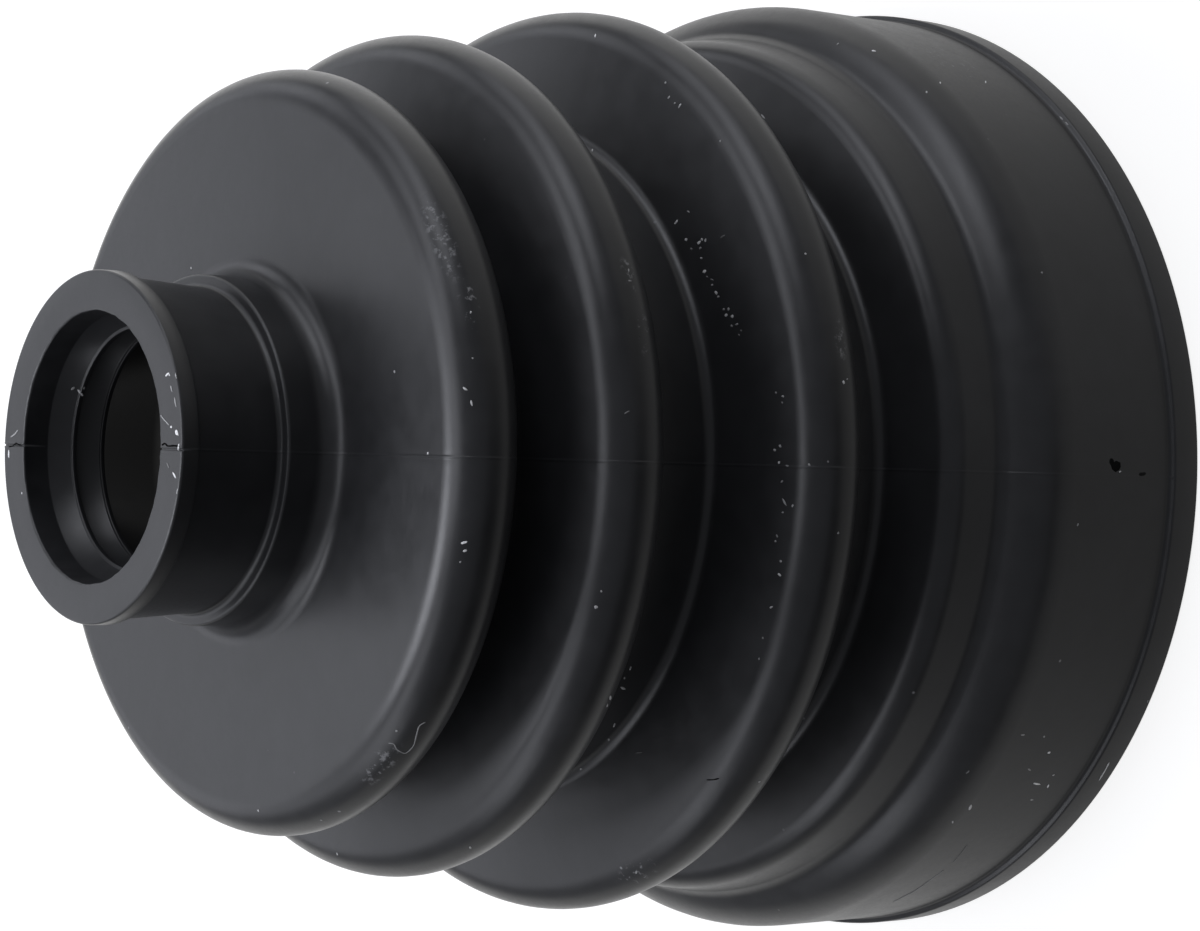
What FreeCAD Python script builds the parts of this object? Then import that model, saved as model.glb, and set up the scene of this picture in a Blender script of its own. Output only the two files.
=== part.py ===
import FreeCAD, Part
import math
import os

import Sketcher

# Bellows boot for a drive shaft joint: one piece, moulded in black rubber.
#
# The boot is a body of revolution about +Z.  It stands on its wide end: z = 0 is the
# rim of the flange that goes round the joint housing, and the narrow collar that grips
# the shaft is at the top.  The outside is what the mould cavity gives, so it is one
# revolved section.  The inside is what the core leaves, so it is one revolved groove.
# All sizes are in millimetres and live in the sheet called Sizes.

# name, value, what it is
SIZES = [
    # wide end: the housing bore, and what stands on or is cut below the clamp band
    ("housing_bore_radius", 45.2, "bore that fits over the joint housing"),
    ("housing_bore_depth", 15.6, "its depth"),
    ("housing_rib_height", 0.5, "sealing ribs in that bore"),
    ("housing_rib_start", 4.4, "rim to the lower rib"),
    ("housing_rib_pitch", 4.0, "rib to rib"),
    ("band_wall", 3.0, "wall under the clamp band"),
    ("flange_stand", 0.6, "flange rim beyond the band"),
    ("flange_width", 3.4, "height of the flange rim"),
    ("foot_round", 0.5, "fillets at the foot of the band and of the clamp seat"),
    ("band_width", 13.3, "flange to where the band's top edge begins to round"),
    ("brow_round", 6.2, "rounding of the band's top edge"),
    ("crease_tilt", 31, "degrees between the axis and the surface's normal where that rounding ends"),
    ("crease_gap", 0.01, "between that rounding and the one of the crease above it"),
    ("crease_round", 2.2, "rounding of the crease"),
    ("shoulder_depth", 4.45, "shoulder, below the band"),
    ("shoulder_round", 2.8, "its rounding"),
    ("shoulder_rise", 9.3, "start of the band's rounded edge to shoulder"),
    # folds, counted from the wide end: each has a root below and a crest above it
    ("root_round", 1.3, "rounding at the two edges of every root"),
    ("crest_3_radius", 44.8, "outside of the widest crest"),
    ("crest_3_round", 3.7, "its rounding"),
    ("crest_3_rise", 6.8, "root to crest"),
    ("root_3_depth", 8.8, "lowest root, below the widest crest"),
    ("root_3_rise", 5.3, "shoulder to the lower edge of the lowest root"),
    ("root_3_width", 4.7, "between the two edges of the lowest root"),
    ("crest_2_radius", 40.5, "outside of the middle crest"),
    ("crest_2_round", 3.7, "its rounding"),
    ("crest_2_rise", 6.9, "root to crest"),
    ("root_2_depth", 7.8, "middle root, below the middle crest"),
    ("root_2_rise", 6.7, "crest to root"),
    ("root_2_width", 5.9, "between the two edges of the middle root"),
    ("crest_1_radius", 36.0, "outside of the upper crest"),
    ("crest_1_round", 3.6, "its rounding"),
    ("crest_1_rise", 5.6, "root to crest"),
    ("root_1_depth", 7.4, "upper root, below the upper crest"),
    ("root_1_rise", 6.7, "crest to root"),
    ("root_1_width", 0.4, "between the two edges of the upper root"),
    ("wall", 2.2, "thickness of the folds"),
    ("core_round_least", 0.3, "sharpest rounding on the core"),
    # narrow end: the shaft bore, and the walls around it
    ("shaft_bore_radius", 12.2, "bore between and below the shaft ribs"),
    ("shaft_mouth_flare", 0.2, "how much wider the bore is at its mouth"),
    ("shaft_mouth_depth", 2.6, "end face to the top of the first shaft rib"),
    ("shaft_rib_height", 1.2, "shaft ribs, where the shaft seals"),
    ("shaft_rib_gap", 0.3, "plain bore between the two shaft ribs"),
    ("neck_wall", 4.1, "neck and its shoulder, beyond the bore"),
    ("neck_round", 2.2, "fillet from the neck to the upper face"),
    ("neck_length", 5.1, "upper face to the shoulder that keeps the clamp in place"),
    ("seat_low_wall", 2.9, "wall at the clamp seat, next to the shoulder"),
    ("seat_high_wall", 3.5, "wall at the clamp seat, next to the lip"),
    ("seat_width", 9.0, "height of the clamp seat"),
    ("lip_stand", 0.4, "end lip beyond the clamp seat"),
    ("lip_width", 1.9, "height of the end lip"),
    # every saw-tooth sealing rib
    ("rib_slope", 2.1, "height of a rib's sloping side"),
    ("rib_land", 0.4, "height of a rib's crest"),
    ("rib_back", 0.2, "height of a rib's steep side"),
    # edges of the mould
    ("edge_round", 0.3, "rounding of the outer edges of flange, neck and lip"),
]

NODE = "bellows_boot"
FOLDS = (3, 2, 1)


def size(name):
    """The sheet cell of that name, as an expression reads it."""
    return "Sizes." + name


def plus(*terms):
    return " + ".join(terms)


def minus(first, *rest):
    return " - ".join([first] + ["(" + term + ")" for term in rest])


def make_sheet(doc):
    sheet = doc.addObject("Spreadsheet::Sheet", "Sizes")
    for row, (name, value, meaning) in enumerate(SIZES, start=1):
        sheet.set("A%d" % row, meaning)
        sheet.set("B%d" % row, str(value))
        sheet.setAlias("B%d" % row, name)
    doc.recompute()
    return sheet


class Section:
    """A closed section drawn as a path of corners and tangent rounds.

    Each station is a corner (round is None) or a round with its centre, its radius and
    the side it turns to: +1 turns left, -1 turns right.  Straight lines join them, and
    they are tangent to the rounds.
    """

    def __init__(self, body, name):
        self.sketch = body.newObject("Sketcher::SketchObject", name)
        plane = [f for f in body.Origin.OriginFeatures if f.Role == "XZ_Plane"][0]
        self.sketch.AttachmentSupport = [(plane, "")]
        self.sketch.MapMode = "FlatFace"
        self.stations = []

    def value(self, expression):
        return float(self.sketch.evalExpression(expression))

    def corner(self, name, across, up):
        self.stations.append((name, across, up, None, 0))

    def round(self, name, across, up, radius, turn):
        self.stations.append((name, across, up, radius, turn))

    def tangent_line(self, first, second):
        """Ends of the line that leaves one station and meets the next."""
        (xa, ya, ra), (xb, yb, rb) = first, second
        dx = xb - xa
        dy = yb - ya
        reach = math.hypot(dx, dy)
        angle = math.atan2(dy, dx) + math.asin((ra - rb) / reach)
        nx = -math.sin(angle)
        ny = math.cos(angle)
        return (FreeCAD.Vector(xa - ra * nx, ya - ra * ny, 0),
                FreeCAD.Vector(xb - rb * nx, yb - rb * ny, 0))

    def draw(self):
        """Puts in the lines and arcs, then ties every station to the sheet."""
        places = []
        for name, across, up, radius, turn in self.stations:
            signed = turn * self.value(radius) if radius else 0.0
            places.append((self.value(across), self.value(up), signed))
        count = len(places)
        lines = [self.tangent_line(places[i], places[(i + 1) % count]) for i in range(count)]
        shapes = [Part.LineSegment(start, end) for start, end in lines]
        arcs = {}
        for i, (x, y, signed) in enumerate(places):
            if not signed:
                continue
            ends = [lines[i - 1][1], lines[i][0]]
            if signed < 0:
                ends.reverse()
            angles = [math.atan2(p.y - y, p.x - x) for p in ends]
            if angles[1] < angles[0]:
                angles[1] += 2 * math.pi
            circle = Part.Circle(FreeCAD.Vector(x, y, 0), FreeCAD.Vector(0, 0, 1), abs(signed))
            arcs[i] = len(shapes)
            shapes.append(Part.ArcOfCircle(circle, *angles))
        self.sketch.addGeometry(shapes, False)
        self.tie(places, arcs)

    def tie(self, places, arcs):
        start, end, centre = 1, 2, 3
        level_axis, upright_axis = -1, -2
        rules = []
        bound = []

        def measure(kind, geometry, point, expression, value, name):
            """A distance from the origin along one direction, or on the axis if it is zero."""
            if abs(value) < 1e-9:
                axis = upright_axis if kind == "DistanceX" else level_axis
                rules.append(Sketcher.Constraint("PointOnObject", geometry, point, axis))
                return
            bound.append((len(rules), expression, name))
            rules.append(Sketcher.Constraint(kind, -1, 1, geometry, point, value))

        for i, (name, across, up, radius, turn) in enumerate(self.stations):
            x, y, signed = places[i]
            before = (i - 1) % len(places)
            if i in arcs:
                enters, leaves = (start, end) if turn > 0 else (end, start)
                rules.append(Sketcher.Constraint("Tangent", before, end, arcs[i], enters))
                rules.append(Sketcher.Constraint("Tangent", arcs[i], leaves, i, start))
                measure("DistanceX", arcs[i], centre, across, x, name + "_across")
                measure("DistanceY", arcs[i], centre, up, y, name + "_up")
                bound.append((len(rules), radius, name + "_round"))
                rules.append(Sketcher.Constraint("Radius", arcs[i], abs(signed)))
            else:
                rules.append(Sketcher.Constraint("Coincident", before, end, i, start))
                measure("DistanceX", i, start, across, x, name + "_across")
                measure("DistanceY", i, start, up, y, name + "_up")
        self.sketch.addConstraint(rules)
        for index, expression, name in bound:
            self.sketch.renameConstraint(index, name)
            self.sketch.setExpression("Constraints." + name, expression)


def crease_reach(part):
    """From the centre of the band's rounded edge to the centre of the crease, one part of it."""
    reach = plus(size("brow_round"), size("crease_gap"), size("crease_round"))
    return "(%s) * %s(%s * 1 deg)" % (reach, part, size("crease_tilt"))


def heights():
    """Height above the flange rim of every feature, stacked from the wide end up."""
    up = {"rim": "0"}
    up["flange"] = size("flange_width")
    up["brow"] = plus(up["flange"], size("band_width"))
    up["crease"] = plus(up["brow"], crease_reach("cos"))
    up["shoulder"] = plus(up["brow"], size("shoulder_rise"))
    below = up["shoulder"]
    for fold in FOLDS:
        up["root_%d_low" % fold] = plus(below, size("root_%d_rise" % fold))
        up["root_%d_high" % fold] = plus(up["root_%d_low" % fold], size("root_%d_width" % fold))
        up["crest_%d" % fold] = plus(up["root_%d_high" % fold], size("crest_%d_rise" % fold))
        below = up["crest_%d" % fold]
    up["face"] = plus(up["crest_1"], size("crest_1_round"))
    up["seat"] = plus(up["face"], size("neck_length"))
    up["lip"] = plus(up["seat"], size("seat_width"))
    up["end"] = plus(up["lip"], size("lip_width"))
    return up


def radii():
    """Radius of every feature, worked out from the two bores and the three crests."""
    housing = size("housing_bore_radius")
    shaft = size("shaft_bore_radius")
    across = {"band": plus(housing, size("band_wall"))}
    across["flange"] = plus(across["band"], size("flange_stand"))
    across["crease"] = plus(minus(across["band"], size("brow_round")), crease_reach("sin"))
    across["shoulder"] = minus(across["band"], size("shoulder_depth"))
    for fold in FOLDS:
        crest = size("crest_%d_radius" % fold)
        across["crest_%d" % fold] = crest
        across["root_%d" % fold] = minus(crest, size("root_%d_depth" % fold))
    for name in ("neck", "seat_low", "seat_high"):
        across[name] = plus(shaft, size(name + "_wall"))
    across["lip"] = plus(across["seat_high"], size("lip_stand"))
    across["shaft_mouth"] = plus(shaft, size("shaft_mouth_flare"))
    across["shaft_rib"] = minus(shaft, size("shaft_rib_height"))
    across["housing_rib"] = minus(housing, size("housing_rib_height"))
    return across


def outside(body, across, up):
    """Section of the mould cavity: everything within the outer skin."""
    section = Section(body, "outer_section")
    edge = size("edge_round")

    def bulge(name):
        centre = minus(across[name], size(name + "_round"))
        section.round(name, centre, up[name], size(name + "_round"), 1)

    def hollow(name, key):
        centre = plus(across[name], size("root_round"))
        section.round(key, centre, up[key], size("root_round"), -1)

    def low_edge(name, key):
        section.round(name + "_low", minus(across[name], edge), plus(up[key], edge), edge, 1)

    def high_edge(name, key):
        section.round(name + "_high", minus(across[name], edge), minus(up[key], edge), edge, 1)

    def foot(name, key):
        section.round(name + "_foot", plus(across[name], size("foot_round")),
                      plus(up[key], size("foot_round")), size("foot_round"), -1)

    section.corner("rim_centre", "0", up["rim"])
    low_edge("flange", "rim")
    high_edge("flange", "flange")
    foot("band", "flange")
    section.round("brow", minus(across["band"], size("brow_round")), up["brow"], size("brow_round"), 1)
    section.round("crease", across["crease"], up["crease"], size("crease_round"), -1)
    bulge("shoulder")
    for fold in FOLDS:
        hollow("root_%d" % fold, "root_%d_low" % fold)
        hollow("root_%d" % fold, "root_%d_high" % fold)
        bulge("crest_%d" % fold)
    section.round("neck_fillet", plus(across["neck"], size("neck_round")),
                  plus(up["face"], size("neck_round")), size("neck_round"), -1)
    high_edge("neck", "seat")
    foot("seat_low", "seat")
    section.corner("seat_high", across["seat_high"], up["lip"])
    section.corner("lip_low", across["lip"], up["lip"])
    high_edge("lip", "end")
    section.corner("end_centre", "0", up["end"])
    section.draw()
    return section.sketch


def sealing_rib(section, name, crest, bore, slope_first, start):
    """A saw-tooth rib: a slope that the mating part slides over, a land, a steep back."""
    sides = [size("rib_slope"), size("rib_land"), size("rib_back")]
    if not slope_first:
        sides.reverse()
    section.corner(name + "_foot", bore, start)
    section.corner(name + "_crest", crest, plus(start, sides[0]))
    section.corner(name + "_crest_end", crest, plus(start, sides[0], sides[1]))
    section.corner(name + "_foot_end", bore, plus(start, *sides))


def inside(body, across, up):
    """Section of the core: the housing bore, the hollow folds and the shaft bore."""
    section = Section(body, "core_section")
    wall = size("wall")

    def bulge(name):
        radius = size(name + "_round")
        inner = "max(%s; %s)" % (minus(radius, wall), size("core_round_least"))
        section.round(name, minus(across[name], radius), up[name], inner, 1)

    def hollow(name, key):
        radius = size("root_round")
        section.round(key, plus(across[name], radius), up[key], plus(radius, wall), -1)

    housing = size("housing_bore_radius")
    first = size("housing_rib_start")
    second = plus(first, size("housing_rib_pitch"))
    section.corner("core_foot", "0", up["rim"])
    section.corner("housing_mouth", housing, up["rim"])
    sealing_rib(section, "housing_rib_1", across["housing_rib"], housing, True, first)
    sealing_rib(section, "housing_rib_2", across["housing_rib"], housing, True, second)
    section.corner("housing_bore_end", housing, size("housing_bore_depth"))
    section.round("crease", across["crease"], up["crease"], plus(size("crease_round"), wall), -1)
    bulge("shoulder")
    for fold in FOLDS:
        hollow("root_%d" % fold, "root_%d_low" % fold)
        hollow("root_%d" % fold, "root_%d_high" % fold)
        bulge("crest_%d" % fold)
    section.round("neck_fillet", plus(across["neck"], size("neck_round")),
                  plus(up["face"], size("neck_round")), plus(size("neck_round"), wall), -1)
    shaft = size("shaft_bore_radius")
    rib = plus(size("rib_slope"), size("rib_land"), size("rib_back"))
    upper = minus(up["end"], size("shaft_mouth_depth"), rib)
    lower = minus(upper, size("shaft_rib_gap"), rib)
    sealing_rib(section, "shaft_rib_2", across["shaft_rib"], shaft, False, lower)
    sealing_rib(section, "shaft_rib_1", across["shaft_rib"], shaft, False, upper)
    section.corner("shaft_mouth", across["shaft_mouth"], up["end"])
    section.corner("core_top", "0", up["end"])
    section.draw()
    return section.sketch


def turn_about_axis(body, kind, name, sketch):
    feature = body.newObject(kind, name)
    feature.Profile = (sketch, [""])
    feature.ReferenceAxis = (sketch, ["V_Axis"])
    feature.Angle = 360.0
    return feature


def build(doc):
    across = radii()
    up = heights()
    body = doc.addObject("PartDesign::Body", "bellows_boot_body")
    body.Label = NODE
    cavity = outside(body, across, up)
    doc.recompute()
    skin = turn_about_axis(body, "PartDesign::Revolution", "outer_skin", cavity)
    doc.recompute()
    full = skin.Shape.Volume
    core = inside(body, across, up)
    doc.recompute()
    hollow = turn_about_axis(body, "PartDesign::Groove", "hollow_core", core)
    doc.recompute()
    if not 0 < hollow.Shape.Volume < full:
        raise RuntimeError("the core takes nothing out of the boot")
    body.Placement = FreeCAD.Placement()
    return body


def check(doc, body):
    for item in doc.Objects:
        if "Invalid" in item.State or "Error" in item.State:
            raise RuntimeError("%s failed: %s" % (item.Name, item.State))
    shape = body.Shape
    if shape.isNull() or not shape.isValid() or len(shape.Solids) != 1:
        raise RuntimeError("%s is not one valid solid" % body.Label)


def main():
    os.makedirs("parts", exist_ok=True)
    doc = FreeCAD.newDocument("bellows_boot")
    make_sheet(doc)
    body = build(doc)
    doc.recompute()
    check(doc, body)
    box = body.Shape.optimalBoundingBox()
    print("%s: %.1f x %.1f x %.1f mm, %.1f cm3"
          % (body.Label, box.XLength, box.YLength, box.ZLength, body.Shape.Volume / 1000))
    body.Shape.exportStep("parts/%s.step" % body.Label)


main()
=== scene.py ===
import math
import random

import bmesh
import bpy
import numpy as np
from mathutils import Matrix, Vector


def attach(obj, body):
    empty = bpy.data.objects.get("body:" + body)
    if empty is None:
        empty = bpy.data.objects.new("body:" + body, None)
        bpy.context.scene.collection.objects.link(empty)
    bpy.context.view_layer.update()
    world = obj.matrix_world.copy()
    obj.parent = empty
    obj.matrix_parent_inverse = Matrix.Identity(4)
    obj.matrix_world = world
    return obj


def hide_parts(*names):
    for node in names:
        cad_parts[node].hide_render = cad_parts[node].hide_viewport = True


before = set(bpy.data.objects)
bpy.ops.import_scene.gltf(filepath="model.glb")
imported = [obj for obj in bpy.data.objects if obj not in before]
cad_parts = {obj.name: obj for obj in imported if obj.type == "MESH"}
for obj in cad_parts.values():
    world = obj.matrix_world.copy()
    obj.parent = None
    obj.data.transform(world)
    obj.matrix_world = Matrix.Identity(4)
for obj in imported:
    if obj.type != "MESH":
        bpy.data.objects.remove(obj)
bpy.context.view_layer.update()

MM = 0.001
NODE = "bellows_boot"


# ---------------------------------------------------------------- section of the boot
# The crease lies beyond the brow, the large rounding of the band's top edge, where the
# skin has turned by this angle from the axis.
BROW = (42.0, 16.7, 6.2)
CREASE_ROUND = 2.2
CREASE_GAP = 0.01
CREASE_TILT = math.radians(31)
CREASE_REACH = BROW[2] + CREASE_GAP + CREASE_ROUND
CREASE = (BROW[0] + CREASE_REACH * math.sin(CREASE_TILT),
          BROW[1] + CREASE_REACH * math.cos(CREASE_TILT))

# (radius, height, rounding, side): side +1 bulges, -1 is hollow, 0 is a corner whose
# rounding is a small fillet
OUTSIDE = [
    (48.8, 0.0, 0.25, 0), (48.5, 3.1, 0.30, 1), (48.7, 3.9, 0.50, -1),
    (*BROW, 1), (*CREASE, CREASE_ROUND, -1), (40.95, 26.0, 2.8, 1),
    (37.3, 31.3, 1.3, -1), (37.3, 36.0, 1.3, -1), (41.1, 42.8, 3.7, 1),
    (34.0, 49.5, 1.3, -1), (34.0, 55.4, 1.3, -1), (36.8, 62.3, 3.7, 1),
    (29.9, 69.0, 1.3, -1), (29.9, 69.4, 1.3, -1), (32.4, 75.0, 3.6, 1),
    (18.5, 80.8, 2.2, -1), (16.0, 83.4, 0.30, 1), (15.6, 84.2, 0.50, -1),
    (15.7, 92.7, 0.15, 0), (16.1, 92.7, 0.20, 0), (16.1, 94.5, 0.25, 0),
    (12.4, 94.5, 0.25, 0),
]
INSIDE = [
    (12.2, 92.0, 0.45, 0), (11.28, 90.04, 0.05, 0), (11.0, 90.0, 0.06, 0),
    (11.0, 89.5, 0.12, 0), (12.2, 89.3, 0.10, 0), (12.2, 89.0, 0.10, 0),
    (11.28, 87.04, 0.05, 0), (11.0, 87.0, 0.06, 0), (11.0, 86.5, 0.12, 0),
    (12.2, 86.3, 0.10, 0),
    (18.5, 80.8, 4.4, 1), (32.4, 75.0, 1.4, -1), (29.9, 69.4, 3.5, 1),
    (29.9, 69.0, 3.5, 1), (36.8, 62.3, 1.5, -1), (34.0, 55.4, 3.5, 1),
    (34.0, 49.5, 3.5, 1), (41.1, 42.8, 1.5, -1), (37.3, 36.0, 3.5, 1),
    (37.3, 31.3, 3.5, 1), (40.95, 26.0, 0.6, -1), (*CREASE, 4.4, 1),
    (45.2, 15.6, 0.30, 0),
    (45.2, 11.1, 0.10, 0), (44.7, 10.9, 0.10, 0), (44.7, 10.5, 0.10, 0),
    (45.2, 8.4, 0.20, 0), (45.2, 7.1, 0.10, 0), (44.7, 6.9, 0.10, 0),
    (44.7, 6.5, 0.10, 0), (45.2, 4.4, 0.20, 0), (45.2, 0.0, 0.25, 0),
]


def tangent(a, b):
    """Ends of the straight piece between two signed rounds."""
    (xa, ya, ra), (xb, yb, rb) = a, b
    dx, dy = xb - xa, yb - ya
    angle = math.atan2(dy, dx) + math.asin((ra - rb) / math.hypot(dx, dy))
    nx, ny = -math.sin(angle), math.cos(angle)
    return (xa - ra * nx, ya - ra * ny), (xb - rb * nx, yb - rb * ny)


ARC_STEP = 7.5
INSIDE_COARSER = 3.0
FILLET_SHARE = 0.45


def section(stations, last_fine):
    """Closed outline through all stations; arcs after the last fine one are coarser."""
    n = len(stations)
    places = [(r, z, rho * side) for r, z, rho, side in stations]
    lines = [tangent(places[i], places[(i + 1) % n]) for i in range(n)]
    out = []
    for i, (r, z, rho, side) in enumerate(stations):
        arrive, leave = lines[i - 1][1], lines[i][0]
        step = math.radians(ARC_STEP if i <= last_fine else INSIDE_COARSER * ARC_STEP)
        if side:
            t0 = math.atan2(arrive[1] - z, arrive[0] - r)
            t1 = math.atan2(leave[1] - z, leave[0] - r)
            while side > 0 and t1 < t0:
                t1 += 2 * math.pi
            while side < 0 and t1 > t0:
                t1 -= 2 * math.pi
            count = max(2, math.ceil(abs(t1 - t0) / step))
            for k in range(count + 1):
                t = t0 + (t1 - t0) * k / count
                out.append((r + rho * math.cos(t), z + rho * math.sin(t)))
            continue
        p = np.array((r, z))
        din = p - np.array(lines[i - 1][0])
        dout = np.array(lines[i][1]) - p
        reach = FILLET_SHARE * min(np.linalg.norm(din), np.linalg.norm(dout))
        din /= np.linalg.norm(din)
        dout /= np.linalg.norm(dout)
        turn = math.atan2(din[0] * dout[1] - din[1] * dout[0], float(din @ dout))
        back = min(rho * math.tan(abs(turn) / 2), reach)
        fillet = back / math.tan(abs(turn) / 2)
        normal = np.array((-din[1], din[0])) * math.copysign(1, turn)
        centre = p - din * back + normal * fillet
        count = 4 if i <= last_fine else 2
        for k in range(count + 1):
            c, s = math.cos(turn * k / count), math.sin(turn * k / count)
            v = -normal * fillet
            out.append((centre[0] + v[0] * c - v[1] * s, centre[1] + v[0] * s + v[1] * c))
    return out


def outward(rows):
    """Unit normals of a closed outline that runs anticlockwise."""
    ahead = np.roll(rows, -1, 0) - np.roll(rows, 1, 0)
    normal = np.stack((ahead[:, 1], -ahead[:, 0]), -1)
    return normal / np.linalg.norm(normal, axis=1, keepdims=True)


def ripple(seed, count, low, high):
    """Seeded random values at even steps."""
    source = random.Random(seed)
    return np.array([source.uniform(low, high) for _ in range(count)])


# The mould opens along the plane x = 0 and leaves a fine ridge: distance from the plane
# (millimetres) and share of the ridge's height there.
RIDGE = ((-0.26, 0.0), (-0.17, -0.35), (-0.11, 0.15), (-0.07, 0.65), (-0.03, 1.0),
         (0.03, 1.0), (0.07, 0.65), (0.11, 0.15), (0.17, -0.35), (0.26, 0.0))
RIDGE_HEIGHT = 0.045
RIDGE_STEP = 0.7
SEAMS = (90.0, 270.0)
COLUMN_STEP = 1.5
FLANGE = 48.55
STANDING_EDGE = 0.3
END_FACE = 94.3
BORE_WALL = 12.2
INSIDE_NECK = 13.0
CRACK_DEPTH = 0.10
# the trimmed edge of the bore: place, reach and unevenness, then the larger bites at the
# seams as (seam, half-width in degrees, depth)
BORE_EDGE = (12.4, 94.6)
EDGE_REACH = 0.5
EDGE_UNEVEN = 0.10
EDGE_STEP = 3.0
BITES = ((90.0, 30.0, 0.22), (270.0, 22.0, 0.14))


def lathe(name, outline, last_outer):
    """Closed skin of revolution, with the ridge and the trimmed edge of the bore."""
    rows = np.array(outline)
    normal = outward(rows)
    columns = [(a, 0.0, 1.0 if a in SEAMS else 0.0) for a in np.arange(0.0, 360.0, COLUMN_STEP)]
    for seam in SEAMS:
        columns += [(seam, shift, share) for shift, share in RIDGE]
    columns.sort(key=lambda c: (c[0], c[1]))
    angle = np.radians([c[0] for c in columns])
    shift = np.array([c[1] for c in columns])
    share = np.array([c[2] for c in columns])
    run = np.concatenate(([0.0], np.cumsum(np.linalg.norm(np.diff(rows, axis=0), axis=1))))
    rough = np.interp(run, np.arange(400) * RIDGE_STEP, ripple(5, 400, 0.15, 1.0))
    height = RIDGE_HEIGHT * rough
    height[last_outer:] = 0.0
    height[(rows[:, 0] > FLANGE) | (rows[:, 1] < STANDING_EDGE)] = 0.0
    height[(rows[:, 1] > END_FACE) & (rows[:, 0] > BORE_WALL)] = -CRACK_DEPTH
    lift = share[:, None] * height
    across = rows[:, 0] + lift * normal[:, 0]
    up = rows[:, 1] + lift * normal[:, 1]
    turn = angle[:, None] + shift[:, None] / rows[:, 0]
    distance = np.hypot(rows[:, 0] - BORE_EDGE[0], rows[:, 1] - BORE_EDGE[1])
    near = np.clip(1 - distance / EDGE_REACH, 0, 1) ** 0.5
    steps = np.degrees(angle) / EDGE_STEP
    uneven = np.interp(steps, np.arange(121), ripple(11, 121, 0.0, 1.0)) * EDGE_UNEVEN
    for seam, reach, size in BITES:
        away = np.abs(np.degrees(angle) - seam) / reach
        uneven += size * np.clip(1 - away ** 2, 0, 1) * (0.5 + 4.0 * uneven)
    across = across - near * uneven[:, None]
    grid = np.stack((across * np.cos(turn), across * np.sin(turn), up), -1) * MM
    n, m = len(columns), len(rows)
    index = np.arange(n * m).reshape(n, m)
    b = np.roll(index, -1, 0)
    faces = np.stack((index, b, np.roll(b, -1, 1), np.roll(index, -1, 1)), -1)
    mesh = bpy.data.meshes.new(name)
    mesh.from_pydata(grid.reshape(-1, 3).tolist(), [], faces.reshape(-1, 4).tolist())
    mesh.update()
    mesh.shade_smooth()
    piece = bpy.data.objects.new(name, mesh)
    bpy.context.collection.objects.link(piece)
    return piece


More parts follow.
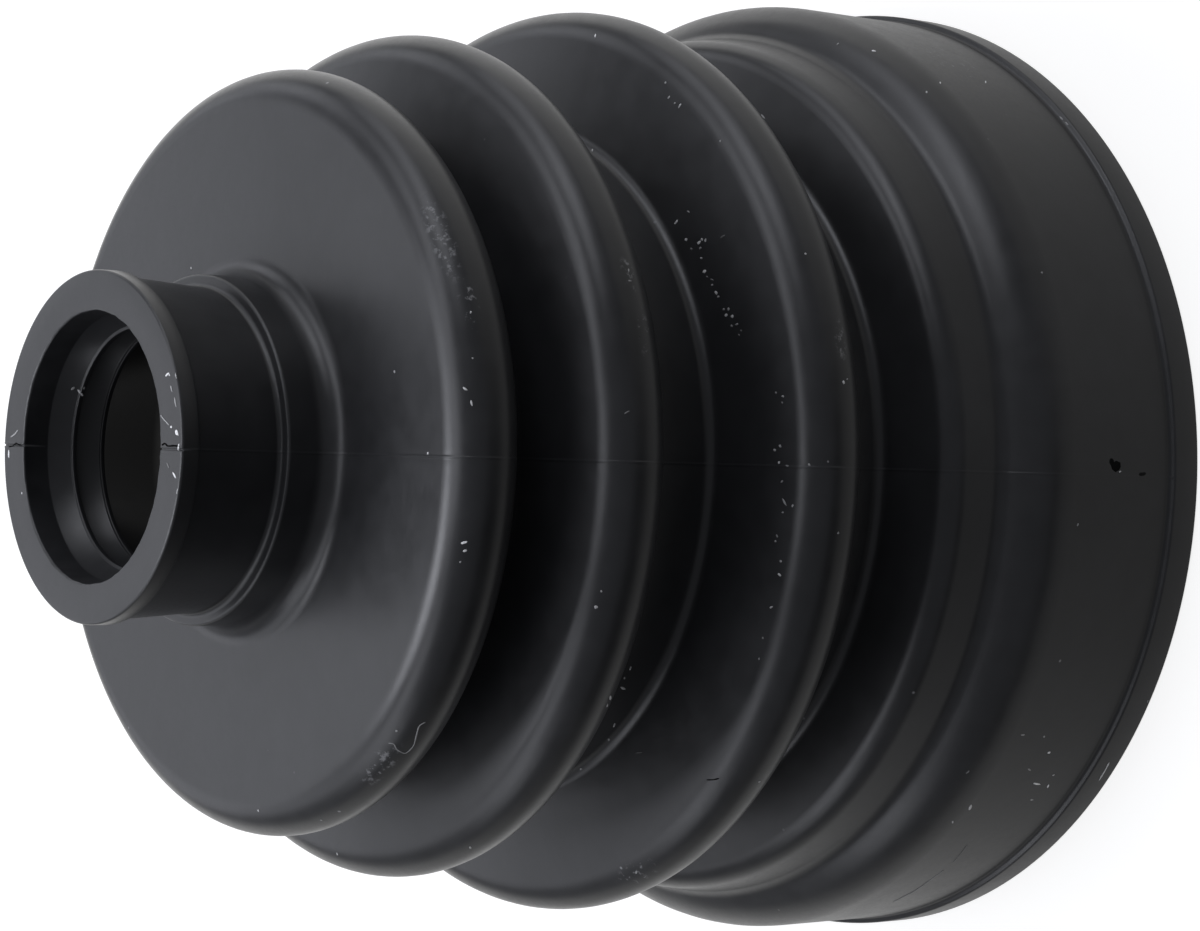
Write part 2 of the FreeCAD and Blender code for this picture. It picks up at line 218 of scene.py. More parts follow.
# ---------------------------------------------------------------- specks, scratches, lint, painted shade in nicks
# (azimuth, radius, height, length, width, turn from the circumference, shade).  A program
# found 80 of these marks in the photo and printed their rows.  The other 46 were picked
# there and sized one by one, and a program laid them on the surface.  Most widths and
# shades were scaled afterwards.
SPECKS = [
    (-64.7, 15.1, 94.6, 0.3, 0.19, 10, 0.88), (110, 13.1, 94.6, 0.3, 0.22, 176, 0.88),
    (-89.5, 30.4, 78.6, 0.3, 0.28, 52, 0.59), (-73.7, 26.1, 78.6, 0.4, 0.24, 20, 0.36),
    (28.3, 19.8, 78.6, 0.3, 0.19, 64, 0.75), (-171.7, 33.5, 78.4, 0.3, 0.24, 91, 0.9),
    (-80.3, 34.8, 77.7, 0.6, 0.23, 56, 0.49), (-133.6, 35, 77.5, 0.3, 0.28, 170, 0.36),
    (-104.8, 35.1, 77.4, 0.2, 0.25, 54, 0.27), (-102, 35.1, 77.4, 0.7, 0.29, 118, 0.82),
    (-82.4, 35.1, 77.3, 0.6, 0.24, 11, 0.49), (-103.1, 35.2, 77.2, 0.4, 0.29, 112, 0.66),
    (-76.1, 35.4, 77, 0.2, 0.24, 165, 0.29), (-159.3, 35.6, 76.6, 0.3, 0.22, 67, 0.41),
    (-69.5, 35.6, 76.6, 0.3, 0.22, 158, 0.46), (178.6, 38.5, 65.6, 0.4, 0.24, 81, 0.73),
    (-108.9, 39.3, 65, 0.4, 0.35, 126, 0.46), (-106.7, 39.4, 64.9, 0.2, 0.29, 120, 0.42),
    (-83.8, 40, 64.2, 0.7, 0.19, 118, 0.19), (-153.2, 40.2, 63.8, 0.5, 0.24, 46, 0.46),
    (-65.4, 40.5, 62.1, 0.4, 0.2, 167, 0.32), (-122.7, 40.1, 60.7, 0.6, 0.24, 24, 0.46),
    (-121.5, 40.2, 60.7, 0.9, 0.33, 41, 0.61), (-127.6, 32.7, 52.4, 0.4, 0.24, 27, 0.36),
    (-125.5, 32.7, 52.3, 0.6, 0.22, 10, 0.44), (-129.8, 32.7, 51.9, 0.9, 0.29, 70, 0.53),
    (-139.1, 32.7, 49.8, 1, 0.24, 21, 0.44), (-143.2, 32.8, 49, 0.5, 0.24, 33, 0.42),
    (-153, 33.1, 48.6, 0.4, 0.24, 8, 0.49), (-25.4, 33, 48.6, 0.5, 0.2, 140, 0.59),
    (-140.1, 35.5, 47.8, 1.1, 0.22, 151, 0.12), (-49.7, 36.2, 47.7, 0.5, 0.2, 20, 0.3),
    (-49.5, 34.6, 48, 0.65, 0.3, 95, 0.51), (-53.2, 34.7, 48, 0.42, 0.36, 40, 0.48),
    (-55.1, 35.8, 47.8, 0.5, 0.36, 80, 0.51), (-55, 36.2, 47.7, 0.4, 0.3, 30, 0.45),
    (-55.5, 36.5, 47.6, 0.4, 0.3, 150, 0.39), (-55.1, 34.8, 48, 0.4, 0.25, 10, 0.17),
    (-56, 35.7, 47.8, 0.35, 0.3, 90, 0.23), (-57.5, 35.4, 47.9, 0.35, 0.3, 60, 0.31),
    (-59.7, 35.2, 47.9, 0.5, 0.4, 100, 0.51), (-60.7, 35.3, 47.9, 0.3, 0.2, 40, 0.17),
    (-61.6, 35.7, 47.8, 0.5, 0.2, 45, 0.17), (-62.3, 35.5, 47.8, 0.35, 0.25, 90, 0.31),
    (-63.8, 35.7, 47.8, 0.55, 0.3, 20, 0.45), (-64.5, 35.8, 47.8, 0.4, 0.25, 70, 0.28),
    (-56.8, 38.3, 47.2, 0.7, 0.22, 85, 0.16), (-66.7, 36, 47.7, 0.35, 0.22, 80, 0.28),
    (-67, 36.5, 47.6, 0.4, 0.28, 170, 0.34), (-67.7, 36.1, 47.7, 0.42, 0.36, 60, 0.42),
    (-68.3, 36.7, 47.6, 0.45, 0.36, 10, 0.42), (-69.7, 37, 47.5, 0.4, 0.25, 95, 0.28),
    (-69.6, 36.4, 47.6, 0.35, 0.25, 40, 0.2), (-70.8, 37.3, 47.4, 0.3, 0.2, 50, 0.14),
    (-71.3, 37, 47.5, 0.35, 0.22, 20, 0.16), (-87.9, 39.7, 46.9, 0.4, 0.3, 73, 0.29),
    (-89.5, 40.2, 46.8, 0.3, 0.26, 154, 0.44), (-80.5, 40.1, 46.8, 0.3, 0.24, 37, 0.22),
    (-99.6, 40.5, 46.7, 0.3, 0.25, 138, 0.24), (-98.9, 40.6, 46.7, 0.4, 0.22, 40, 0.2),
    (-91.9, 40.6, 46.7, 0.4, 0.23, 136, 0.2), (-95.8, 40.9, 46.6, 0.3, 0.23, 105, 0.29),
    (-94.5, 41, 46.6, 0.9, 0.25, 41, 0.29), (-114.8, 41.7, 46.5, 0.3, 0.19, 22, 0.26),
    (-112.1, 41.4, 46.5, 0.3, 0.24, 62, 0.26), (-107.9, 41.4, 46.5, 0.5, 0.24, 129, 0.41),
    (-103.6, 41.5, 46.5, 0.6, 0.24, 68, 0.46), (-101.9, 41.4, 46.5, 0.3, 0.24, 60, 0.31),
    (-36.1, 41.6, 46.5, 0.6, 0.24, 96, 0.59), (-35.1, 41.4, 46.5, 0.3, 0.24, 74, 0.36),
    (-33.6, 41.4, 46.5, 0.5, 0.23, 89, 0.61), (-94.8, 41.9, 46.4, 0.4, 0.22, 150, 0.31),
    (-31.6, 42.2, 46.3, 0.3, 0.25, 107, 0.41), (-45.2, 42.5, 46.2, 0.3, 0.2, 148, 0.53),
    (-14.8, 42.8, 46.1, 0.5, 0.21, 121, 0.9), (-89.7, 43.2, 45.9, 0.3, 0.24, 66, 0.31),
    (-153, 43.8, 45.4, 0.6, 0.2, 28, 0.41), (-89.3, 44.3, 44.6, 0.3, 0.24, 53, 0.17),
    (-64.3, 44.5, 44.2, 0.3, 0.26, 167, 0.42), (-97.5, 44.8, 43.2, 0.3, 0.25, 128, 0.24),
    (-130.6, 44.8, 42.6, 0.3, 0.25, 105, 0.48), (-79.7, 44.8, 42.3, 0.3, 0.18, 147, 0.31),
    (-26.4, 38.6, 29.6, 0.9, 0.17, 166, 0.49), (-23.5, 46.4, 21.1, 0.4, 0.2, 98, 0.42),
    (-28.4, 47.3, 19.9, 0.6, 0.29, 37, 0.78), (-38.8, 47.5, 19.5, 0.4, 0.24, 146, 0.58),
    (-127.2, 47.6, 19.4, 0.6, 0.22, 160, 0.19), (-66.7, 48.1, 17.7, 0.3, 0.25, 92, 0.27),
    (-135, 48.1, 17.4, 0.5, 0.2, 34, 0.44), (-37.6, 48.2, 17.3, 0.6, 0.2, 146, 0.56),
    (-132.4, 48.2, 16.6, 1.1, 0.42, 19, 0.59), (-95.6, 48.2, 15.9, 0.4, 0.23, 144, 0.29),
    (-121.3, 48.2, 15.4, 0.7, 0.26, 91, 0.44), (-121.7, 48.2, 12.3, 0.4, 0.26, 22, 0.41),
    (-126.6, 48.2, 11.8, 0.7, 0.21, 63, 0.36), (-124.1, 48.2, 10.4, 0.5, 0.31, 89, 0.88),
    (-35.9, 48.2, 9.9, 0.8, 0.2, 143, 0.77), (-129, 48.2, 9.4, 1.6, 0.29, 78, 0.9),
    (-131.7, 48.2, 8.5, 0.6, 0.25, 79, 0.44), (-127.7, 48.2, 7.8, 0.3, 0.24, 129, 0.58),
    (-129.5, 48.2, 7.5, 0.6, 0.24, 20, 0.73), (-43.6, 48.5, 3.5, 0.7, 0.2, 4, 0.37),
    (-42.5, 48.4, 3.5, 0.7, 0.2, 1, 0.36), (-116.8, 48.8, 0.5, 0.3, 0.23, 9, 0.34),
    (-81.1, 40.8, 46.7, 0.35, 0.25, 60, 0.3), (-81.9, 40.7, 46.7, 0.3, 0.22, 20, 0.2),
    (-80.1, 44.8, 42.8, 0.45, 0.3, 20, 0.55), (-87.4, 40.3, 46.8, 0.4, 0.28, 40, 0.3),
    (-66.9, 40.5, 62.3, 0.5, 0.2, 90, 0.28), (-89.9, 41.1, 46.6, 0.5, 0.2, 80, 0.2),
    (-82.2, 14.3, 94.6, 0.3, 0.31, 25, 0.9), (-84.6, 15.2, 94.6, 0.85, 0.46, 45, 0.9),
    (-89.3, 15.5, 94.6, 0.75, 0.28, 165, 0.9), (-98.6, 15.1, 94.6, 1, 0.24, 57, 0.9),
    (-63.9, 14.8, 94.6, 0.95, 0.24, 95, 0.9), (93.2, 15.1, 94.6, 0.9, 0.31, 0, 0.9),
    (-69.6, 15, 94.6, 0.9, 0.13, 8, 0.71), (-74.4, 15.3, 94.6, 1.1, 0.13, 4, 0.77),
    (-66.5, 16, 94.5, 0.7, 0.11, 0, 0.85), (-103.2, 15.9, 94.5, 0.7, 0.11, 0, 0.85),
    (61.8, 11.4, 90.7, 0.6, 0.29, 147, 0.34), (59.8, 11, 89.8, 0.4, 0.22, 10, 0.2),
    (-88.9, 48.2, 11.1, 1.9, 1.3, 86, 0.009), (-88.4, 48.2, 11.7, 1.0, 0.8, 20, 0.010),
    (-89.7, 48.2, 7.3, 1.3, 0.5, 95, 0.018), (-89.5, 48.2, 10.5, 0.3, 0.15, 120, 0.68),
]
# (shade, width, points as azimuth, radius, height); the points were picked in the photo,
# and a program laid them on the surface
STROKES = [
    (0.30, 0.13, [(-136.3, 35.0, 77.5), (-136.0, 35.3, 77.2), (-136.6, 35.5, 76.8),
                  (-136.9, 35.7, 76.3), (-136.9, 35.9, 75.9), (-135.9, 35.95, 75.7),
                  (-134.8, 35.95, 75.7), (-133.0, 35.9, 76.0), (-131.3, 35.8, 76.2),
                  (-130.4, 35.9, 75.9)]),
    (0.30, 0.10, [(-155.8, 48.2, 11.3), (-153.9, 48.2, 11.4), (-151.8, 48.2, 11.3),
                  (-149.0, 48.2, 11.5), (-145.8, 48.2, 11.5)]),
    (0.20, 0.08, [(-143.8, 48.2, 11.6), (-141.5, 48.2, 12.0), (-139.9, 48.2, 12.3)]),
    (0.60, 0.20, [(-128.2, 48.75, 1.45), (-126.9, 48.7, 1.5), (-125.5, 48.7, 1.6)]),
    # near-black stroke: painted shade inside a nick on crest 3
    (0.003, 0.12, [(-133.4, 42.4, 46.3), (-132.7, 42.85, 46.05), (-132.0, 43.2, 45.9)]),
    (0.55, 0.22, [(61.9, 11.3, 90.2), (63.5, 11.0, 89.8), (65.2, 11.4, 89.4)]),
    (0.45, 0.14, [(-76.6, 12.75, 94.6), (-78.0, 13.0, 94.6), (-81.3, 13.95, 94.6)]),
    (0.32, 0.12, [(-95.1, 13.7, 94.6), (-96.7, 14.1, 94.6)]),
    # near-black strokes along the cracks across the end face at the two seams: painted shade inside the
    # cracks
    (0.003, 0.16, [(-88.5, 12.7, 94.6), (-87.9, 13.2, 94.6), (-88.9, 13.7, 94.6),
                   (-88.8, 14.6, 94.6), (-89.0, 15.6, 94.6)]),
    (0.004, 0.12, [(90.7, 15.1, 94.6), (90.3, 14.3, 94.6), (89.2, 13.7, 94.6),
                   (89.9, 13.1, 94.6), (89.5, 12.8, 94.6)]),
    (0.45, 0.14, [(87.1, 14.8, 94.6), (85.7, 14.0, 94.6), (84.0, 13.5, 94.6)]),
]


def footing(outline, azimuth, radius, height):
    """Point of the skin beside a mark, with its outward, round and along directions."""
    rows = np.array(outline)
    ahead = np.roll(rows, -1, 0) - rows
    wanted = np.array((radius, height))
    share = np.clip(((wanted - rows) * ahead).sum(1) / np.maximum((ahead ** 2).sum(1), 1e-9), 0, 1)
    nearest = rows + ahead * share[:, None]
    i = int(np.argmin(np.linalg.norm(nearest - wanted, axis=1)))
    nr, nz = np.array((ahead[i, 1], -ahead[i, 0])) / np.linalg.norm(ahead[i])
    turn = math.radians(azimuth)
    level = Vector((math.cos(turn), math.sin(turn), 0))
    normal = level * nr + Vector((0, 0, nz))
    around = Vector((-math.sin(turn), math.cos(turn), 0))
    place = level * nearest[i, 0] + Vector((0, 0, nearest[i, 1]))
    return place, normal.normalized(), around, normal.cross(around).normalized()


def gather(name, outline):
    """All specks and strokes as one mesh of small closed bodies with a shade each."""
    source = random.Random(23)
    points, faces, shades = [], [], []

    def close(rings, tip, tail, shade):
        first = len(points)
        sides = len(rings[0])
        for ring in rings:
            points.extend(ring)
        points.extend((tip, tail))
        for k in range(len(rings) - 1):
            for j in range(sides):
                a, b = first + k * sides + j, first + k * sides + (j + 1) % sides
                faces.append((a, b, b + sides, a + sides))
        last = first + (len(rings) - 1) * sides
        for j in range(sides):
            faces.append((last + j, last + (j + 1) % sides, first + len(rings) * sides))
            faces.append((first + (j + 1) % sides, first + j, first + len(rings) * sides + 1))
        shades.extend([shade] * (len(points) - first))

    for azimuth, radius, height, length, width, turn, shade in SPECKS:
        place, normal, around, along = footing(outline, azimuth, radius, height)
        c, s = math.cos(math.radians(turn)), math.sin(math.radians(turn))
        u, v = around * c + along * s, around * -s + along * c
        ring = []
        for k in range(8):
            t = 2 * math.pi * k / 8
            grow = source.uniform(0.72, 1.12) / 2
            ring.append(place + u * (math.cos(t) * length * grow) + v * (math.sin(t) * width * grow))
        low = [p - normal * 0.05 for p in ring]
        high = [place + (p - place) * 0.8 + normal * 0.035 for p in ring]
        tip = place + normal * source.uniform(0.05, 0.09)
        close([low, high], tip, place - normal * 0.07, shade)

    for shade, width, path in STROKES:
        marks = [footing(outline, *p) for p in path]
        centre, normal = [], []
        for k in range(len(marks) - 1):
            p0 = marks[max(k - 1, 0)][0]
            p1, p2 = marks[k][0], marks[k + 1][0]
            p3 = marks[min(k + 2, len(marks) - 1)][0]
            for step in range(4):
                t = step / 4
                centre.append(0.5 * (2 * p1 + (p2 - p0) * t + (2 * p0 - 5 * p1 + 4 * p2 - p3) * t * t
                                     + (3 * p1 - p0 - 3 * p2 + p3) * t ** 3))
                normal.append(marks[k][1].lerp(marks[k + 1][1], t).normalized())
        centre.append(marks[-1][0])
        normal.append(marks[-1][1])
        rings = []
        for k, (p, n) in enumerate(zip(centre, normal)):
            ahead = (centre[min(k + 1, len(centre) - 1)] - centre[max(k - 1, 0)]).normalized()
            side = ahead.cross(n).normalized()
            half = width / 2 * source.uniform(0.75, 1.1) * (0.5 if k in (0, len(centre) - 1) else 1)
            rings.append([p + side * (half * math.cos(t)) + n * (0.02 + 0.6 * half * math.sin(t))
                          for t in (0, math.pi / 3, 2 * math.pi / 3, math.pi, 4 * math.pi / 3,
                                    5 * math.pi / 3)])
        reach = (centre[-1] - centre[-2]).normalized() * width * 0.4
        start = (centre[0] - centre[1]).normalized() * width * 0.4
        close(rings, centre[-1] + reach, centre[0] + start, shade)

    mesh = bpy.data.meshes.new(name)
    mesh.from_pydata([tuple(p * MM) for p in points], [], faces)
    mesh.update()
    body = bmesh.new()
    body.from_mesh(mesh)
    bmesh.ops.recalc_face_normals(body, faces=body.faces)
    body.to_mesh(mesh)
    body.free()
    layer = mesh.attributes.new("shade", "FLOAT", "POINT")
    layer.data.foreach_set("value", shades)
    piece = bpy.data.objects.new(name, mesh)
    bpy.context.collection.objects.link(piece)
    return piece


# ---------------------------------------------------------------- shader helpers
ROUGHNESS = 0.33
# scuffed places: azimuth, radius, height, half-sizes deep, along and tall, noise limits;
# the places are rounded from what was read from the photo in the same way
SCUFFS = (
    (-57.0, 35.2, 77.2, 1.6, 5.5, 1.2, 0.50, 0.66),
    (-68.0, 35.6, 76.6, 1.2, 3.5, 1.0, 0.56, 0.70),
    (-141.0, 35.3, 77.0, 1.5, 4.0, 1.3, 0.52, 0.66),
    (-153.0, 43.8, 45.2, 1.6, 3.5, 1.5, 0.55, 0.68),
    (-30.0, 48.2, 12.0, 1.5, 7.0, 5.0, 0.58, 0.74),
    (-66.0, 40.5, 62.2, 0.9, 2.2, 0.9, 0.50, 0.68),
    (-74.0, 40.4, 61.7, 0.9, 3.0, 1.0, 0.53, 0.70),
    (-75.0, 44.8, 42.5, 0.9, 2.4, 0.9, 0.50, 0.68),
)


class Shader:
    def __init__(self, name):
        self.material = bpy.data.materials.new(name)
        self.material.use_nodes = True
        self.tree = self.material.node_tree
        self.tree.nodes.clear()

    def add(self, kind, **settings):
        node = self.tree.nodes.new(kind)
        for key, value in settings.items():
            setattr(node, key, value)
        return node

    def link(self, start, end):
        self.tree.links.new(start, end)

    def calc(self, kind, *values):
        node = self.add("ShaderNodeMath", operation=kind)
        for socket, value in zip(node.inputs, values):
            if hasattr(value, "is_output"):
                self.link(value, socket)
            else:
                socket.default_value = value
        return node.outputs[0]


# black rubber, and the grey it scuffs to
RUBBER = (("Red", 0.0180), ("Green", 0.0183), ("Blue", 0.0196))
SCUFFED = (0.34, 0.34, 0.35, 1)
SCUFF_SHARE = 0.55
DUST_SHARE = 0.8
DULLING = 0.25
GRAIN_HEIGHT = 0.000012
WAVE_HEIGHT = 0.00010


def rubber():
    """Black moulded rubber: slight mottling, fine grain, dust and scuffed places."""
    s = Shader("black_rubber")
    out = s.add("ShaderNodeOutputMaterial")
    skin = s.add("ShaderNodeBsdfPrincipled")
    where = s.add("ShaderNodeTexCoord").outputs["Object"]

    def noise(scale, detail=3.0, roughness=0.55, place=where):
        node = s.add("ShaderNodeTexNoise")
        s.link(place, node.inputs["Vector"])
        node.inputs["Scale"].default_value = scale
        node.inputs["Detail"].default_value = detail
        node.inputs["Roughness"].default_value = roughness
        return node.outputs["Fac"]

    def spread(value, low, high, to_low, to_high, smooth=False):
        node = s.add("ShaderNodeMapRange")
        if smooth:
            node.interpolation_type = "SMOOTHSTEP"
        s.link(value, node.inputs["Value"])
        for key, number in (("From Min", low), ("From Max", high), ("To Min", to_low), ("To Max", to_high)):
            node.inputs[key].default_value = number
        return node.outputs["Result"]

    def patch(azimuth, radius, height, deep, along, tall):
        """Soft-edged place on the skin; its three half-sizes are in millimetres."""
        turn = math.radians(azimuth)
        node = s.add("ShaderNodeMapping", vector_type="TEXTURE")
        s.link(where, node.inputs["Vector"])
        node.inputs["Location"].default_value = (
            radius * math.cos(turn) * MM, radius * math.sin(turn) * MM, height * MM)
        node.inputs["Rotation"].default_value = (0, 0, turn)
        node.inputs["Scale"].default_value = (deep * MM, along * MM, tall * MM)
        size = s.add("ShaderNodeVectorMath", operation="LENGTH")
        s.link(node.outputs["Vector"], size.inputs[0])
        return spread(size.outputs["Value"], 0.35, 1.0, 1.0, 0.0, True)

    broad, mid, fine, grain = noise(55.0), noise(420.0), noise(2600.0, 2.0), noise(6500.0, 2.0)
    tone = s.calc("MULTIPLY", spread(broad, 0.3, 0.7, 0.85, 1.20), spread(mid, 0.3, 0.7, 0.90, 1.12))
    # scuffs: broken up by noise drawn out round the boot
    scuff = None
    torn = noise(1500.0, 3.0, 0.65)
    for place in SCUFFS:
        mask = patch(*place[:6])
        worn = s.calc("MULTIPLY", mask, spread(torn, *place[6:8], 0.0, 1.0, True))
        scuff = worn if scuff is None else s.calc("MAXIMUM", scuff, worn)
    # loose dust: sparse pinpoints
    dots = s.add("ShaderNodeTexVoronoi")
    s.link(where, dots.inputs["Vector"])
    dots.inputs["Scale"].default_value = 620.0
    chosen = s.add("ShaderNodeSeparateColor")
    s.link(dots.outputs["Color"], chosen.inputs["Color"])
    pick = spread(chosen.outputs["Red"], 0.972, 0.990, 0.0, 1.0)
    dust = s.calc("MULTIPLY", pick, spread(dots.outputs["Distance"], 0.03, 0.13, 1.0, 0.0, True))
    pale = s.calc("MAXIMUM", s.calc("MULTIPLY", scuff, SCUFF_SHARE), s.calc("MULTIPLY", dust, DUST_SHARE))

    dark = s.add("ShaderNodeCombineColor")
    for channel, level in RUBBER:
        s.link(s.calc("MULTIPLY", tone, level), dark.inputs[channel])
    colour = s.add("ShaderNodeMix", data_type="RGBA")
    s.link(pale, colour.inputs["Factor"])
    s.link(dark.outputs["Color"], colour.inputs["A"])
    colour.inputs["B"].default_value = SCUFFED
    s.link(colour.outputs["Result"], skin.inputs["Base Color"])

    gloss = s.calc("ADD", spread(mid, 0.3, 0.7, -0.020, 0.020), spread(fine, 0.3, 0.7, -0.025, 0.025))
    gloss = s.calc("ADD", gloss, s.calc("ADD", spread(broad, 0.3, 0.7, ROUGHNESS - 0.015, ROUGHNESS + 0.015),
                                    s.calc("MULTIPLY", pale, DULLING)))
    s.link(gloss, skin.inputs["Roughness"])

    grain_bump = s.add("ShaderNodeBump")
    grain_bump.inputs["Strength"].default_value = 0.18
    grain_bump.inputs["Distance"].default_value = GRAIN_HEIGHT
    s.link(grain, grain_bump.inputs["Height"])
    wave_bump = s.add("ShaderNodeBump")
    wave_bump.inputs["Strength"].default_value = 0.30
    wave_bump.inputs["Distance"].default_value = WAVE_HEIGHT
    s.link(noise(230.0, 2.0), wave_bump.inputs["Height"])
    s.link(wave_bump.outputs["Normal"], grain_bump.inputs["Normal"])
    s.link(grain_bump.outputs["Normal"], skin.inputs["Normal"])
    s.link(skin.outputs[0], out.inputs["Surface"])
    return s.material


def marks_and_painted_shade_material():
    """Torn flash, lint and grit, and near-black strokes that are painted shade in a nick and in the seam
    cracks: dull, each body in its own shade of grey.
    """
    s = Shader("specks")
    out = s.add("ShaderNodeOutputMaterial")
    skin = s.add("ShaderNodeBsdfPrincipled")
    shade = s.add("ShaderNodeAttribute", attribute_name="shade")
    tone = s.add("ShaderNodeCombineColor")
    for channel in ("Red", "Green", "Blue"):
        s.link(shade.outputs["Fac"], tone.inputs[channel])
    s.link(tone.outputs["Color"], skin.inputs["Base Color"])
    skin.inputs["Roughness"].default_value = 0.70
    skin.inputs["Specular IOR Level"].default_value = 0.0
    s.link(skin.outputs[0], out.inputs["Surface"])
    return s.material


# what the floor sends to the boot: level, and how much it changes toward the right (+X)
# and toward the back (+Y), close to the boot and far from it; distances in metres
NEAR_LEVEL = 0.72
NEAR_BACK = 0.44
FAR_LEVEL = 0.62
FAR_RIGHT = 0.28
FAR_BACK = 0.58
NEAR_ENDS = 0.09
FAR_BEGINS = 0.17
LEAST_LEVEL = 0.03
# painted shadow: the floor inside the standing boot is darkened, both as the camera sees it and in the light
# it sends
INSIDE_RIM = 0.046
INSIDE_PAINTED_SHADOW = 0.16
# what the camera sees of it
FLOOR_GLOW = 0.82
FLOOR_PAPER = (0.30, 0.30, 0.30, 1)
FLOOR_HALF = 12


def floor_material():
    """White to the camera, with the boot's shadow on it, and a painted shadow inside the
    boot's rim.  To every other ray it is an emitter: brightest behind the boot and at its
    right, darker on the camera's side, and darkened inside the rim as painted shade."""
    s = Shader("pale_floor")
    out = s.add("ShaderNodeOutputMaterial")
    path = s.add("ShaderNodeLightPath")
    where = s.add("ShaderNodeTexCoord").outputs["Object"]
    length = s.add("ShaderNodeVectorMath", operation="LENGTH")
    s.link(where, length.inputs[0])
    spot = s.add("ShaderNodeSeparateXYZ")
    s.link(where, spot.inputs[0])

    away = s.calc("MAXIMUM", length.outputs["Value"], 0.05)
    right = s.calc("DIVIDE", spot.outputs["X"], away)
    behind = s.calc("DIVIDE", spot.outputs["Y"], away)
    close = s.calc("ADD", s.calc("MULTIPLY", behind, NEAR_BACK), NEAR_LEVEL)
    swing = s.calc("ADD", s.calc("MULTIPLY", right, FAR_RIGHT), s.calc("MULTIPLY", behind, FAR_BACK))
    far = s.calc("ADD", swing, FAR_LEVEL)
    reach = s.add("ShaderNodeMapRange", interpolation_type="SMOOTHSTEP")
    s.link(length.outputs["Value"], reach.inputs["Value"])
    reach.inputs["From Min"].default_value = NEAR_ENDS
    reach.inputs["From Max"].default_value = FAR_BEGINS
    share = reach.outputs["Result"]
    rest = s.calc("SUBTRACT", 1.0, share)
    level = s.calc("ADD", s.calc("MULTIPLY", far, share), s.calc("MULTIPLY", close, rest))
    bounce = s.add("ShaderNodeEmission")
    # painted shadow: inside the boot's rim the floor's glow and what it sends are cut to a small share
    beyond = s.calc("GREATER_THAN", length.outputs["Value"], INSIDE_RIM)
    painted_shadow_factor = s.calc("MAXIMUM", beyond, INSIDE_PAINTED_SHADOW)
    s.link(s.calc("MULTIPLY", s.calc("MAXIMUM", level, LEAST_LEVEL), painted_shadow_factor), bounce.inputs["Strength"])
    paper = s.add("ShaderNodeBsdfDiffuse")
    paper.inputs["Color"].default_value = FLOOR_PAPER
    glow = s.add("ShaderNodeEmission")
    s.link(s.calc("MULTIPLY", painted_shadow_factor, FLOOR_GLOW), glow.inputs["Strength"])
    seen = s.add("ShaderNodeAddShader")
    s.link(paper.outputs[0], seen.inputs[0])
    s.link(glow.outputs[0], seen.inputs[1])
    mix = s.add("ShaderNodeMixShader")
    s.link(path.outputs["Is Camera Ray"], mix.inputs["Fac"])
    s.link(bounce.outputs[0], mix.inputs[1])
    s.link(seen.outputs[0], mix.inputs[2])
    s.link(mix.outputs[0], out.inputs["Surface"])
    return s.material


# ---------------------------------------------------------------- the boot
outline = section(OUTSIDE + INSIDE, len(OUTSIDE) - 1)
last_outer = min(i for i, (r, z) in enumerate(outline) if z < END_FACE and r < INSIDE_NECK)
boot = lathe("boot_skin", outline, last_outer)
boot.data.materials.append(rubber())
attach(boot, "root")
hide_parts(NODE)

marks = gather("surface_marks_and_painted_shade", outline)
marks.data.materials.append(marks_and_painted_shade_material())
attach(marks, "root")

# ---------------------------------------------------------------- floor
ground = bpy.data.meshes.new("floor")
corners = [(-FLOOR_HALF, -FLOOR_HALF, 0), (FLOOR_HALF, -FLOOR_HALF, 0),
           (FLOOR_HALF, FLOOR_HALF, 0), (-FLOOR_HALF, FLOOR_HALF, 0)]
ground.from_pydata(corners, [], [(0, 1, 2, 3)])
floor = bpy.data.objects.new("floor", ground)
bpy.context.collection.objects.link(floor)
ground.materials.append(floor_material())

# ---------------------------------------------------------------- camera
# the boot's axis in the camera's own frame (x right, y down, z ahead), and the centre of
# the end face in that frame, all rounded from a fit to the boot's rings in the photo
TILT = math.radians(51.38)
LEAN = math.radians(1.60)
FOCAL = 96.86
END_HEIGHT = 94.6
axis = Vector((-math.sin(TILT) * math.cos(LEAN), -math.sin(TILT) * math.sin(LEAN), -math.cos(TILT)))
mouth = Vector((-46.31, -1.67, 292.17)) * MM
top = Vector((0, 0, 1))
side = (top - top.dot(axis) * axis).normalized()
view = Matrix((side.cross(axis), side, axis)).transposed()
rows = view.transposed()
place = Vector((0, 0, END_HEIGHT * MM)) - rows @ mouth
matrix = (rows @ Matrix(((1, 0, 0), (0, -1, 0), (0, 0, -1)))).to_4x4()
matrix.translation = place
lens = bpy.data.cameras.new("camera")
lens.sensor_fit = "HORIZONTAL"
lens.sensor_width = 36.0
lens.lens = FOCAL
lens.clip_start = 0.01
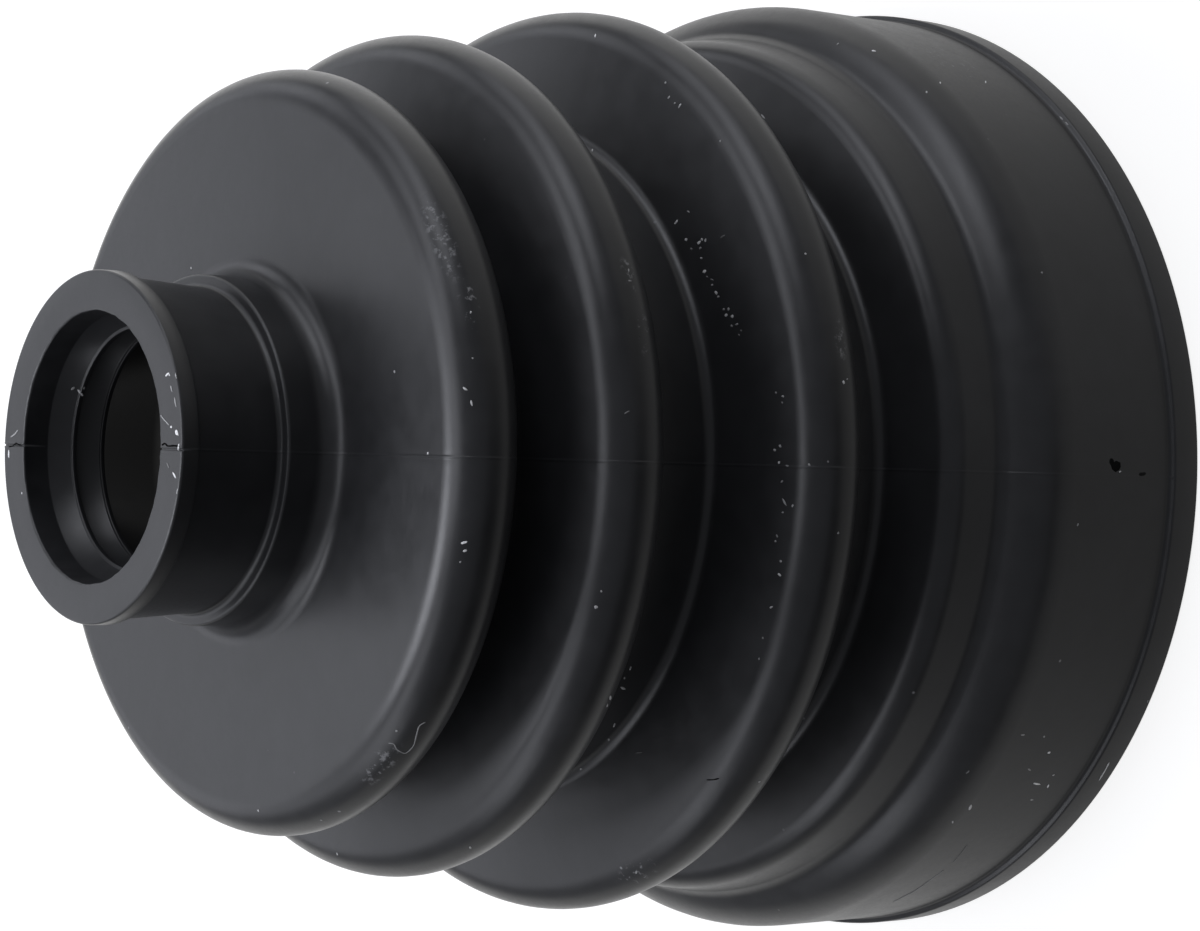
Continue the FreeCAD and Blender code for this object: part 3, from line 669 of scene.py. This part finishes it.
camera = bpy.data.objects.new("camera", lens)
camera.matrix_world = matrix
bpy.context.collection.objects.link(camera)
bpy.context.scene.camera = camera


# ---------------------------------------------------------------- light
# Round softboxes: azimuth from the camera's side toward +X, elevation, radiance, as a
# least-squares fit printed them.  Most of them stand behind the boot and over it.
SOFTBOXES = (
    (-156, 64, 6.57), (93, 61, 2.04), (-26, 87, 1.89), (163, 65, 1.88), (79, 31, 1.86),
    (-105, 43, 1.69), (-91, 59, 1.54), (63, 37, 1.48), (-94, 29, 1.41), (108, 45, 1.27),
    (121, 75, 1.27), (103, 15, 1.16), (134, 23, 1.13), (85, 17, 1.08), (-129, 38, 0.80),
    (-160, 18, 0.77), (-167, 34, 0.68), (-177, 51, 0.68), (163, 19, 0.68), (170, 35, 0.66),
    (148, 17, 0.63), (-147, 30, 0.57), (67, 21, 0.49), (-179, 20, 0.41),
)
ACROSS = 0.40
DISTANCE = 1.0
MIDDLE = Vector((0, 0, 0.047))
LAMP_COLOUR = (0.965, 0.985, 1.06)
WORLD_COLOUR = (0.95, 0.98, 1.06, 1)
WORLD_STRENGTH = 0.18
for azimuth, elevation, radiance in SOFTBOXES:
    turn, rise = math.radians(azimuth), math.radians(elevation)
    direction = Vector((math.sin(turn) * math.cos(rise), -math.cos(turn) * math.cos(rise), math.sin(rise)))
    data = bpy.data.lights.new("softbox", "AREA")
    data.shape = "DISK"
    data.color = LAMP_COLOUR
    data.size = ACROSS
    data.energy = radiance * math.pi * math.pi * (ACROSS / 2) ** 2
    lamp = bpy.data.objects.new("softbox", data)
    lamp.location = MIDDLE + direction * DISTANCE
    lamp.rotation_euler = direction.to_track_quat("Z", "Y").to_euler()
    bpy.context.collection.objects.link(lamp)

world = bpy.data.worlds.new("studio")
bpy.context.scene.world = world
world.use_nodes = True
background = world.node_tree.nodes["Background"]
background.inputs["Color"].default_value = WORLD_COLOUR
background.inputs["Strength"].default_value = WORLD_STRENGTH

bpy.context.scene.view_settings.view_transform = "Standard"
